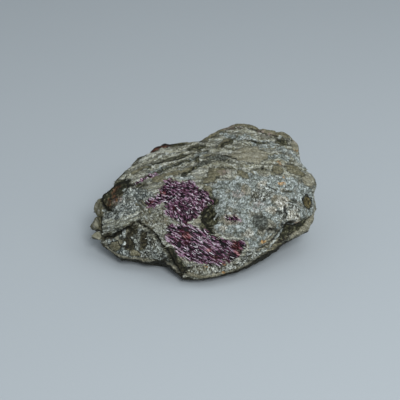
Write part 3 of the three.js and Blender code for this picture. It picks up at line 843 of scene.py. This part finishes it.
    # the other minerals by their maps, three of them with a thin dark outline
    grained = summed(m, 0.0, (fine, 0.4), (thread, 0.6))
    olive = over(m, times(m, worn, 0.7),
                 ramp(m, fine, [(0.36, (11, 11, 5)), (0.47, (36, 36, 22)), (0.56, (62, 61, 42)),
                                (0.68, (120, 119, 98))]),
                 ramp(m, fine, [(0.34, (22, 18, 10)), (0.46, (42, 37, 25)), (0.6, (62, 57, 42)),
                                (0.74, (98, 91, 73))]))
    rust = over(m, zone("olive"),
                ramp(m, fine, [(0.35, (136, 92, 42)), (0.5, (184, 134, 68)), (0.65, (212, 174, 112))]),
                ramp(m, fine, [(0.35, (38, 26, 16)), (0.5, (76, 47, 30)), (0.65, (112, 72, 46))]))
    shade = covered(m, layered, [
        (zone("granular"), 1.0, over(m, times(m, zone("satin", 0.4, 0.6), 0.8), granular, satin)),
        (zone("cool", 0.3, 0.7), 0.12, (140, 156, 162)),
        (outline("khaki"), 0.8, (42, 41, 28)),
        (outline("pale"), 0.6, (42, 41, 28)),
        (outline("olive"), 0.8, (42, 41, 28)),
        (zone("feldspar", 0.42, 0.56), 0.9, ramp(m, summed(m, 0.0, (blotch, 0.5), (speck, 0.5)), [
            (0.24, (96, 88, 74)), (0.36, (142, 138, 124)), (0.54, (166, 164, 152)), (0.7, (200, 199, 190))])),
        (zone("slate"), 0.9, ramp(m, speck, [
            (0.0, (24, 22, 15)), (0.3, (42, 43, 36)), (0.65, (62, 65, 58)), (1.0, (98, 102, 94))])),
        (zone("pale"), 0.8, ramp(m, grained, [
            (0.36, (78, 72, 53)), (0.46, (110, 105, 85)), (0.56, (136, 132, 114)), (0.68, (184, 183, 171))])),
        (zone("khaki"), 0.9, ramp(m, grained, [
            (0.36, (48, 44, 28)), (0.45, (80, 75, 54)), (0.53, (106, 101, 78)), (0.66, (148, 144, 123))])),
        (zone("olive"), 1.0, olive),
        (zone("white"), 0.8, ramp(m, fine, [(0.38, (128, 132, 124)), (0.5, (172, 178, 173)),
                                            (0.62, (212, 217, 214))])),
        (zone("ochre"), 0.85, ramp(m, fine, [(0.36, (40, 34, 16)), (0.5, (80, 71, 40)),
                                             (0.66, (120, 110, 76))])),
        (times(m, zone("blush", 0.4, 0.65), between(m, clouds(m, place, 0.9), 0.42, 0.56)), 0.4,
         (158, 140, 134)),
        (zone("lilac", 0.5, 0.58), 1.0, ramp(m, fine, [(0.36, (6, 5, 6)), (0.55, (18, 13, 16)),
                                                       (0.72, (58, 41, 52))])),
        (times(m, zone("rust", 0.44, 0.56), between(m, clouds(m, place, 1.1), 0.4, 0.52)), 0.64, rust),
        (zone("maroon", 0.44, 0.56), 0.9, ramp(m, fine, [(0.35, (20, 10, 7)), (0.5, (48, 26, 19)),
                                                         (0.68, (92, 52, 42))])),
        # the cracks: their own dark fill, and painted shade in the grooves and under ledges
        (attribute(m, "crack"), 0.96, (19, 19, 12)),
        # painted shade on the undercut and along the lower edge
        (largest(m, attribute(m, "under"), attribute(m, "lowerEdge")), 0.97, (22, 19, 7))])

    # the worn rim has a brown skin, and the hollows between grains and under ledges get painted shade
    skin = between(m, summed(m, -0.4, (attribute(m, "rim"), 1.0), (fine, 0.8)), 0.6, 0.85)
    for name, low, high in (("olive", 0.56, 0.44), ("pale", 0.6, 0.4)):
        skin = times(m, skin, between(m, attribute(m, name), low, high))
    shade = covered(m, shade, [
        (skin, 0.75, (70, 65, 43)),
        # painted shade in the low places of the fine relief
        (between(m, attribute(m, "relief"), 0.44, 0.28), 0.55, (36, 35, 25))])

    # less grit on silky mica and glassy quartz, more on weathered rock
    silky = largest(m, *(attribute(m, name) for name in ("pale", "khaki", "satin")))
    silky = largest(m, between(m, silky, 0.45, 0.6), between(m, attribute(m, "granular"), 0.55, 0.45))
    shade = gritty(m, place, shade, summed(m, 0.75, (worn, 0.25), (silky, -0.35)))
    height = summed(m, clouds(m, place, 0.6, 4.0), (grain["Distance"], -0.5))
    return finish(m, shade, roughness(m, fine, 0.45, 0.8), bumps(m, height, 0.7, 0.35),
                  {"Specular IOR Level": 0.2})


# small crystals

def scatter(body, weights, piece, seed):
    # points on the body, thick where the weights are high, and no two nearer than the piece's spacing, with
    # the way out of the stone and the nearest vertex of the body
    mesh = body.data
    count, spacing = piece["count"], piece["spacing"]
    draw = np.random.default_rng(seed)
    points = pointsOf(mesh)
    vertexNormals = normalsOf(mesh)
    corners = np.empty(3 * len(mesh.polygons), np.int64)
    mesh.polygons.foreach_get("vertices", corners)
    corners = corners.reshape(-1, 3)
    first, second, third = (points[corners[:, k]] for k in range(3))
    areas = np.linalg.norm(np.cross(second - first, third - first), axis=1)
    total = np.cumsum(areas * weights[corners].mean(axis=1))
    places, outward, owners, taken = [], [], [], {}
    around = [(i, j, k) for i in (0, 1, -1) for j in (0, 1, -1) for k in (0, 1, -1)]
    picks = np.searchsorted(total, draw.random(6 * count) * total[-1])
    spots = draw.random((6 * count, 2))
    for pick, (a, b) in zip(picks.tolist(), spots.tolist()):
        if a + b > 1:
            a, b = 1 - a, 1 - b
        place = first[pick] + a * (second[pick] - first[pick]) + b * (third[pick] - first[pick])
        x, y, z = (int(value) for value in place // spacing)
        near = [taken[x + i, y + j, z + k] for i, j, k in around if (x + i, y + j, z + k) in taken]
        if any(np.sum((other - place) ** 2) < spacing ** 2 for other in near):
            continue
        taken[x, y, z] = place
        places.append(place)
        outward.append(vertexNormals[corners[pick]].mean(axis=0))
        owners.append(corners[pick][0])
        if len(places) == count:
            break
    return np.array(places), unit(np.array(outward)), np.array(owners), draw


def plateForm(draw, steps=1):
    # a six-sided book of mica, one long, one wide and one thick
    shape = bmesh.new()
    bmesh.ops.create_circle(shape, cap_ends=True, segments=6, radius=0.5)
    for vert in shape.verts:
        vert.co.x *= draw.uniform(0.8, 1.1)
        vert.co.y *= draw.uniform(0.7, 1.1)
    top = shape.faces[:]
    for layer in range(steps + 1):
        if layer:
            bmesh.ops.inset_region(shape, faces=top, thickness=0.09, use_even_offset=True)
            shift = Vector((draw.uniform(-0.06, 0.06), draw.uniform(-0.06, 0.06), 0))
            bmesh.ops.translate(shape, verts=list({vert for face in top for vert in face.verts}), vec=shift)
        grown = bmesh.ops.extrude_face_region(shape, geom=top)["geom"]
        bmesh.ops.delete(shape, geom=[face for face in top if layer], context="FACES")
        top = [part for part in grown if isinstance(part, bmesh.types.BMFace)]
        lifted = [part for part in grown if isinstance(part, bmesh.types.BMVert)]
        bmesh.ops.translate(shape, verts=lifted, vec=(0, 0, 1 / (steps + 1)))
    return formArrays(shape)


def grainForm(draw):
    # an angular grain of feldspar with a few flat cleavage faces
    shape = bmesh.new()
    bmesh.ops.create_icosphere(shape, subdivisions=1, radius=0.5)
    for vert in shape.verts:
        vert.co *= draw.uniform(0.85, 1.15)
    for _ in range(4):
        flat = Vector(draw.normal(size=3)).normalized()
        for vert in shape.verts:
            beyond = vert.co.dot(flat) - 0.36
            if beyond > 0:
                vert.co -= flat * beyond
    return formArrays(shape)


def formArrays(shape):
    bmesh.ops.triangulate(shape, faces=shape.faces[:])
    bmesh.ops.recalc_face_normals(shape, faces=shape.faces[:])
    shape.verts.index_update()
    points = np.array([vert.co[:] for vert in shape.verts])
    faces = np.array([[vert.index for vert in face.verts] for face in shape.faces])
    shape.free()
    return points, faces


def joined(name, forms, places, axes, sizes, tints, warmth=None):
    # one mesh of many small forms, each placed by its own axes and sizes
    points, faces, counts, start = [], [], [], 0
    for k, place in enumerate(places):
        formPoints, formFaces = forms[k % len(forms)]
        points.append(place + (formPoints * sizes[k]) @ axes[k])
        faces.append(formFaces + start)
        counts.append(len(formPoints))
        start += len(formPoints)
    mesh = bpy.data.meshes.new(name)
    mesh.from_pydata((np.concatenate(points) * mm).tolist(), [], np.concatenate(faces).tolist())
    for title, values in (("tint", tints), ("warmth", warmth)):
        if values is not None:
            setMap(mesh, title, np.repeat(values, counts))
    mesh.update()
    print(name + ":", len(places), "crystals,", len(mesh.polygons), "triangles")
    return asObject(name, mesh)


def axesOf(outward, along, spin, tilt):
    # three ways for each crystal: along it, across it and out of it, after a spin about the way out of the
    # stone and a tilt about its own length
    along = unit(along - outward * np.sum(along * outward, axis=1)[:, None])
    across = np.cross(outward, along)
    turned = along * np.cos(spin)[:, None] + across * np.sin(spin)[:, None]
    across = np.cross(outward, turned)
    tipped = outward * np.cos(tilt)[:, None] + across * np.sin(tilt)[:, None]
    return np.stack([turned, np.cross(tipped, turned), tipped], axis=1)


def drawnSizes(draw, piece, count):
    return np.stack([draw.uniform(*piece[key], count) for key in ("length", "width", "thickness")], axis=1)


def cleanRock(body):
    # the rock that small crystals show on: off the lilac mica, the smooth minerals, the cracks, the undercut
    # and the lower edge, where shade is painted, and above the table
    names = ("lilac", "khaki", "olive", "pale", "slate", "crack", "under")
    zones = {name: mapOf(body, name) for name in names}
    clean = smooth(zones["lilac"], 0.52, 0.42) * (1 - smoothMinerals(zones))
    clean *= (1 - zones["crack"]) * (1 - zones["under"]) * (1 - shareOf(body, "rim", 0.02, 0.4))
    return clean * shareOf(body, "lowerEdge", 0.4, 0.1) * smooth(pointsOf(body.data)[:, 2], 0.8, 1.6)


lepidolite = {
    "count": 9000, "spacing": 0.22, "kinds": 8,
    "length": (0.7, 1.9), "width": (0.2, 0.44), "thickness": (0.08, 0.2),
    "streakDown": 32,           # degrees that the streaks fall to the right
    "lay": 0.42,                # how far the flakes' long axes turn from them, in radians
    "tilt": 0.5,                # how far they stand up, in radians
    "sway": 1.3,                # how far whole tufts of the upper patch turn from the streaks, at most
    "combed": (0.6, 0.55),      # how much straighter and longer the flakes of the lower patch lie
    "streak": (1.4, 3.4, 0.5),  # length of the light and dark streaks in the upper and the lower patch, width
    "white": 0.04,              # share of the flakes that shine white
    "darkLines": [[(-17.5, 22), (-11, 15.5), (-3, 11)], [(-15, 4), (-9, 4.2), (-5, 3.5)],
                  [(5, -5.5), (11, -8)]],
}


def lepidoliteFlakes(body):
    weights = shareOf(body, "lilac", 0.44, 0.56) * shareOf(body, "rust", 0.7, 0.45)
    places, outward, owners, draw = scatter(body, weights, lepidolite, 21)
    count = len(places)
    down = -math.radians(lepidolite["streakDown"])
    streak = math.cos(down) * faceRight + math.sin(down) * faceUp
    low = 0.15 + 0.85 * smooth(onFacePlane(places)[1], 9, 5)
    straighter, longer = lepidolite["combed"]
    spin = draw.normal(0, lepidolite["lay"], count) * (1 - straighter * low)
    spin += lepidolite["sway"] * (1 - low) * noiseAt(places, 5, 63)
    axes = axesOf(outward, np.tile(streak, (count, 1)), spin, draw.normal(0, lepidolite["tilt"], count))
    sizes = drawnSizes(draw, lepidolite, count)
    sizes[:, 0] *= 1 + longer * low
    # light and dark flakes lie in streaks, too
    upper, lower, width = lepidolite["streak"]
    inStreaks = np.stack([places @ streak / (upper + (lower - upper) * low),
                          places @ np.cross(streak, faceOut) / width, places @ faceOut / upper], axis=1)
    bands = noiseAt(inStreaks, 1, 4)
    dark = np.max([smooth(offLine(*onFacePlane(places), line), 2.4, 0.6) for line in lepidolite["darkLines"]],
                  axis=0)
    tints = 0.275 + 0.025 * low - 0.16 * dark + 1.35 * bands + 0.2 * noiseAt(places, 6.5, 27)
    tints = np.clip(tints + draw.normal(0, 0.26, count), 0, 0.94)
    tints[draw.random(count) < lepidolite["white"]] = 1
    sunken = 0.05 + 0.3 * smooth(bands, -0.1, -0.4)
    forms = [plateForm(draw, 0) for _ in range(lepidolite["kinds"])]
    red = smooth(mapOf(body, "maroon")[owners] + draw.normal(0, 0.06, count), 0.42, 0.55)
    return joined("lepidolite_flakes", forms, places - outward * sunken[:, None], axes, sizes, tints, red)


def lepidoliteMaterial():
    m = newMaterial("lilac mica")
    place = inMillimetres(m)
    tint = attribute(m, "tint")
    fine = clouds(m, place, 0.5, 2.0)
    shade = ramp(m, tint, [
        (0.0, (6, 5, 5)), (0.26, (16, 12, 13)), (0.38, (50, 26, 38)), (0.54, (94, 54, 76)),
        (0.70, (128, 84, 110)), (0.84, (154, 116, 140)), (0.93, (178, 156, 172)), (1.0, (230, 224, 228))])
    red = ramp(m, tint, [
        (0.2, (28, 11, 10)), (0.5, (98, 42, 41)), (0.8, (142, 78, 76)), (1.0, (200, 160, 158))])
    shade = covered(m, shade, [
        (attribute(m, "warmth"), 0.85, red),
        (between(m, clouds(m, place, 4.0, 2.0), 0.58, 0.7), 0.3, (96, 34, 46)),
        (between(m, fine, 0.5, 0.3), 0.4, (24, 17, 22))])
    return finish(m, shade, roughness(m, fine, 0.22, 0.5), bumps(m, fine, 0.4, 0.1),
                  {"Specular IOR Level": 0.12})


grains = {
    "count": 9900, "spacing": 0.55, "kinds": 12,
    "size": (0.4, 1.0),
    "sides": (1.5, 0.85, 0.8),  # length, width and height against the size
    "uneven": (0.55, 1.0),      # each of them is made smaller by this
    "sunk": 0.26,               # share of its size that a grain lies in the rock
    "fewer": {"weathered": 0.55, "satin": 0.8, "feldspar": 0.75},
    "white": 0.03,              # share of the white grains, whose white is partly a painted highlight
    "dark": (0.1, 0.16),        # share of the nearly black ones, and how many more in weathered rock
}


def rockGrains(body):
    seen = 0.3 + 0.7 * smooth(normalsOf(body.data) @ faceOut, -0.2, 0.1)
    weights = (0.12 + 0.88 * shareOf(body, "granular", 0.38, 0.55)) * cleanRock(body) * seen
    for name, share in grains["fewer"].items():
        weights *= 1 - share * shareOf(body, name, 0.4, 0.6)
    places, outward, owners, draw = scatter(body, weights, grains, 5)
    count = len(places)
    axes = axesOf(outward, draw.normal(size=(count, 3)), draw.uniform(0, 6.28, count),
                  draw.normal(0, 0.5, count))
    size = draw.uniform(*grains["size"], count)
    sizes = size[:, None] * draw.uniform(*grains["uneven"], (count, 3)) * np.array(grains["sides"])
    forms = [grainForm(draw) for _ in range(grains["kinds"])]
    worn = shareOf(body, "weathered", 0.4, 0.7)[owners]
    warmSpots = shareOf(body, "warm", 0.42, 0.58)[owners]
    mottle = shareOf(body, "mottle", 0.52, 0.78)[owners]
    beige = smooth(places[:, 0] + 1.2 * places[:, 2], 30, 75)
    dark, wornDark = grains["dark"]
    tints = 0.25 + 0.34 * draw.beta(2.3, 2.3, count)
    # white grains, partly painted highlights
    tints[draw.random(count) < grains["white"]] = 1
    tints[draw.random(count) < dark + wornDark * worn] *= 0.1
    tints = np.where(tints < 0.9, (tints + 0.08 * warmSpots) * (1 - 0.35 * mottle), tints)
    warmth = 0.06 + 0.2 * worn + 0.4 * warmSpots + 0.4 * beige + 0.7 * mottle
    warmth = np.clip(warmth + draw.normal(0, 0.2, count), 0, 1)
    sunken = (grains["sunk"] * size)[:, None]
    return joined("rock_grains", forms, places - outward * sunken, axes, sizes, tints, warmth)


def grainMaterial():
    m = newMaterial("feldspar and quartz grains")
    place = inMillimetres(m)
    fine = clouds(m, place, 0.6)
    shade = ramp(m, attribute(m, "tint"), [
        (0.0, (26, 26, 18)), (0.14, (76, 78, 69)), (0.25, (104, 109, 102)), (0.5, (130, 137, 133)),
        (0.75, (152, 159, 157)), (0.9, (180, 186, 186)), (1.0, (226, 230, 229))])
    shade = covered(m, shade, [(between(m, fine, 0.5, 0.34), 0.55, (70, 72, 62))])
    warm = over(m, 1.0, shade, (240, 222, 200), "MULTIPLY")
    shade = gritty(m, place, over(m, attribute(m, "warmth"), shade, warm), 0.5)
    return finish(m, shade, roughness(m, fine, 0.3, 0.65), bumps(m, fine, 0.5, 0.15),
                  {"Specular IOR Level": 0.4})


mica = {
    "count": 2200, "spacing": 0.8, "kinds": 8,
    "length": (1.8, 5.2), "width": (0.22, 0.55), "thickness": (0.08, 0.18),
    "lean": (0.35, 0.8),        # 0 when the flakes lie in the layers, 1 when they lie on the surface
    "sunk": 0.16,
    "silver": 0.05,             # share of the flakes that shine like silver
}


def micaFlakes(body):
    weights = (0.06 + 0.94 * shareOf(body, "granular", 0.6, 0.42)) * cleanRock(body)
    places, outward, _, draw = scatter(body, weights, mica, 77)
    count = len(places)
    rise = layerNormal(places)
    along = np.cross(rise, outward) + 0.02 * draw.normal(size=(count, 3))
    lean = draw.uniform(*mica["lean"], count)[:, None]
    facing = unit(outward * lean + rise * (1 - lean))
    axes = axesOf(facing, along, draw.normal(0, 0.14, count), draw.normal(0, 0.2, count))
    sizes = drawnSizes(draw, mica, count)
    forms = [plateForm(draw) for _ in range(mica["kinds"])]
    tints = 0.25 + 0.4 * draw.random(count)
    tints[draw.random(count) < mica["silver"]] = 0.9
    return joined("mica_flakes", forms, places - outward * mica["sunk"], axes, sizes, tints)


# broken books of mica that stand out of the left rim: corners on the leaning plane, how far out of it the
# front lies, the thickness, and the tint
rimPlates = [
    {"corners": [(-52.1, 5.2), (-51.6, 6.6), (-50.3, 8.2), (-49.1, 9.9), (-48.2, 8.6), (-46.9, 5.6),
                 (-47.6, 3.9), (-50.1, 4.4)],
     "front": 20.3, "thickness": 4.5, "tint": 0.14},
    {"corners": [(-50.6, 6), (-50, 7.4), (-49.2, 8.6), (-48.6, 7.2), (-48.2, 5.4), (-49.5, 5.2)],
     "front": 20.9, "thickness": 1.5, "tint": 0.54},
    {"corners": [(-51.7, 1.2), (-50, 2.5), (-47.8, 3.1), (-46.9, 1.2), (-47.8, -0.6), (-50, 0.2)],
     "front": 21.2, "thickness": 4, "tint": 0.5},
    {"corners": [(-50.9, 13.4), (-50.5, 16), (-49, 18), (-47.6, 17.6), (-48.7, 15.2), (-49, 12.6),
                 (-50, 10.8)],
     "front": 15.5, "thickness": 4, "tint": 0.26},
    {"corners": [(-49.8, 10.6), (-49.4, 12.6), (-48.6, 15), (-47.8, 16.4), (-47, 15.4), (-47.6, 12),
                 (-48, 10)],
     "front": 17.2, "thickness": 3, "tint": 0.17},
]


def leftRimPlates():
    forms = []
    for plate in rimPlates:
        shape = bmesh.new()
        corners = [shape.verts.new((u, v, plate["front"] - plate["thickness"])) for u, v in plate["corners"]]
        outline = shape.faces.new(corners)
        bmesh.ops.recalc_face_normals(shape, faces=[outline])
        grown = bmesh.ops.extrude_face_region(shape, geom=[outline])["geom"]
        lifted = [part for part in grown if isinstance(part, bmesh.types.BMVert)]
        bmesh.ops.translate(shape, verts=lifted, vec=(0, 0, plate["thickness"]))
        bmesh.ops.bevel(shape, geom=shape.edges[:], offset=0.25, segments=1, profile=0.5, affect="EDGES",
                        material=-1)
        bmesh.ops.triangulate(shape, faces=shape.faces[:])
        bmesh.ops.subdivide_edges(shape, edges=shape.edges[:], cuts=2)
        points, faces = formArrays(shape)
        points = points @ np.stack([faceRight, faceUp, faceOut])
        rough = [noiseAt(points, 2.2, seed) + 0.5 * noiseAt(points, 0.9, seed) for seed in (4, 5, 6)]
        forms.append((points + 0.3 * np.stack(rough, axis=1), faces))
    count = len(forms)
    tints = np.array([plate["tint"] for plate in rimPlates])
    return joined("rim_plates", forms, np.zeros((count, 3)), np.tile(np.eye(3), (count, 1, 1)),
                  np.ones((count, 3)), tints)


def micaMaterial():
    m = newMaterial("silvery olive mica")
    fine = clouds(m, inMillimetres(m), 0.7)
    shade = ramp(m, attribute(m, "tint"), [
        (0.0, (40, 38, 24)), (0.22, (78, 76, 56)), (0.45, (112, 109, 88)), (0.7, (148, 146, 128)),
        (0.88, (182, 183, 171)), (1.0, (222, 224, 217))])
    shade = covered(m, shade, [(between(m, fine, 0.5, 0.34), 0.5, (48, 46, 34))])
    return finish(m, shade, roughness(m, fine, 0.28, 0.6), bumps(m, fine, 0.4, 0.12),
                  {"Specular IOR Level": 0.4, "Coat Weight": 0.1, "Coat Roughness": 0.3})


# the table, the light and the camera

studio = {
    "cameraLens": 80, "cameraAway": 420, "aimedAt": (-2, 4, 18),
    "floorSize": 3,  # metres from its middle to its edge
    "floorColour": (177, 183, 187), "floorClouds": (167, 176, 183),
    "skyColour": (0.88, 0.95, 1.0), "skyStrength": 0.46,
    "lampColour": (0.95, 0.98, 1.0),
    "lamps": [  # place, what it points at, width, watts
        ((420, -60, 840), (0, 0, 20), 800, 2.0),
        ((200, -650, 620), (0, 0, 20), 320, 5.0),
    ],
}


def aim(thing, place, target):
    thing.location = Vector(place) * mm
    thing.rotation_euler = (Vector(target) - Vector(place)).to_track_quat("-Z", "Y").to_euler()


def setStudio():
    shape = bmesh.new()
    bmesh.ops.create_grid(shape, x_segments=1, y_segments=1, size=studio["floorSize"])
    mesh = bpy.data.meshes.new("floor")
    shape.to_mesh(mesh)
    shape.free()
    m = newMaterial("pale floor")
    place = inMillimetres(m)
    shade = over(m, times(m, clouds(m, place, 60, 2.0), 0.12), colour(*studio["floorColour"]),
                 studio["floorClouds"])
    mesh.materials.append(finish(m, shade, 0.85, bumps(m, clouds(m, place, 0.9, 2.0), 0.15, 0.2), {}))
    asObject("floor", mesh)

    world = bpy.data.worlds.new("soft room")
    world.use_nodes = True
    sky = world.node_tree.nodes["Background"]
    sky.inputs["Color"].default_value = (*studio["skyColour"], 1)
    sky.inputs["Strength"].default_value = studio["skyStrength"]
    bpy.context.scene.world = world
    for number, (place, target, width, watts) in enumerate(studio["lamps"]):
        lamp = bpy.data.lights.new("soft_lamp_" + str(number + 1), "AREA")
        lamp.size = width * mm
        lamp.energy = watts
        lamp.color = studio["lampColour"]
        aim(asObject(lamp.name, lamp), place, target)

    camera = bpy.data.cameras.new("camera")
    camera.lens = studio["cameraLens"]
    camera.sensor_width = 36
    camera.clip_start = 0.01
    viewer = asObject("camera", camera)
    target = Vector(studio["aimedAt"])
    aim(viewer, target + Vector(faceOut) * studio["cameraAway"], target)
    bpy.context.scene.camera = viewer
    bpy.context.scene.view_settings.view_transform = "Standard"


def addPiece(piece, material):
    piece.data.materials.append(material)
    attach(piece, "root")
    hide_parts("lepidolite_stone")


body = stoneBody()
addPiece(body, stoneMaterial())
addPiece(rockGrains(body), grainMaterial())
micaFinish = micaMaterial()
addPiece(micaFlakes(body), micaFinish)
addPiece(leftRimPlates(), micaFinish)
addPiece(lepidoliteFlakes(body), lepidoliteMaterial())
setStudio()
print("studio is set")
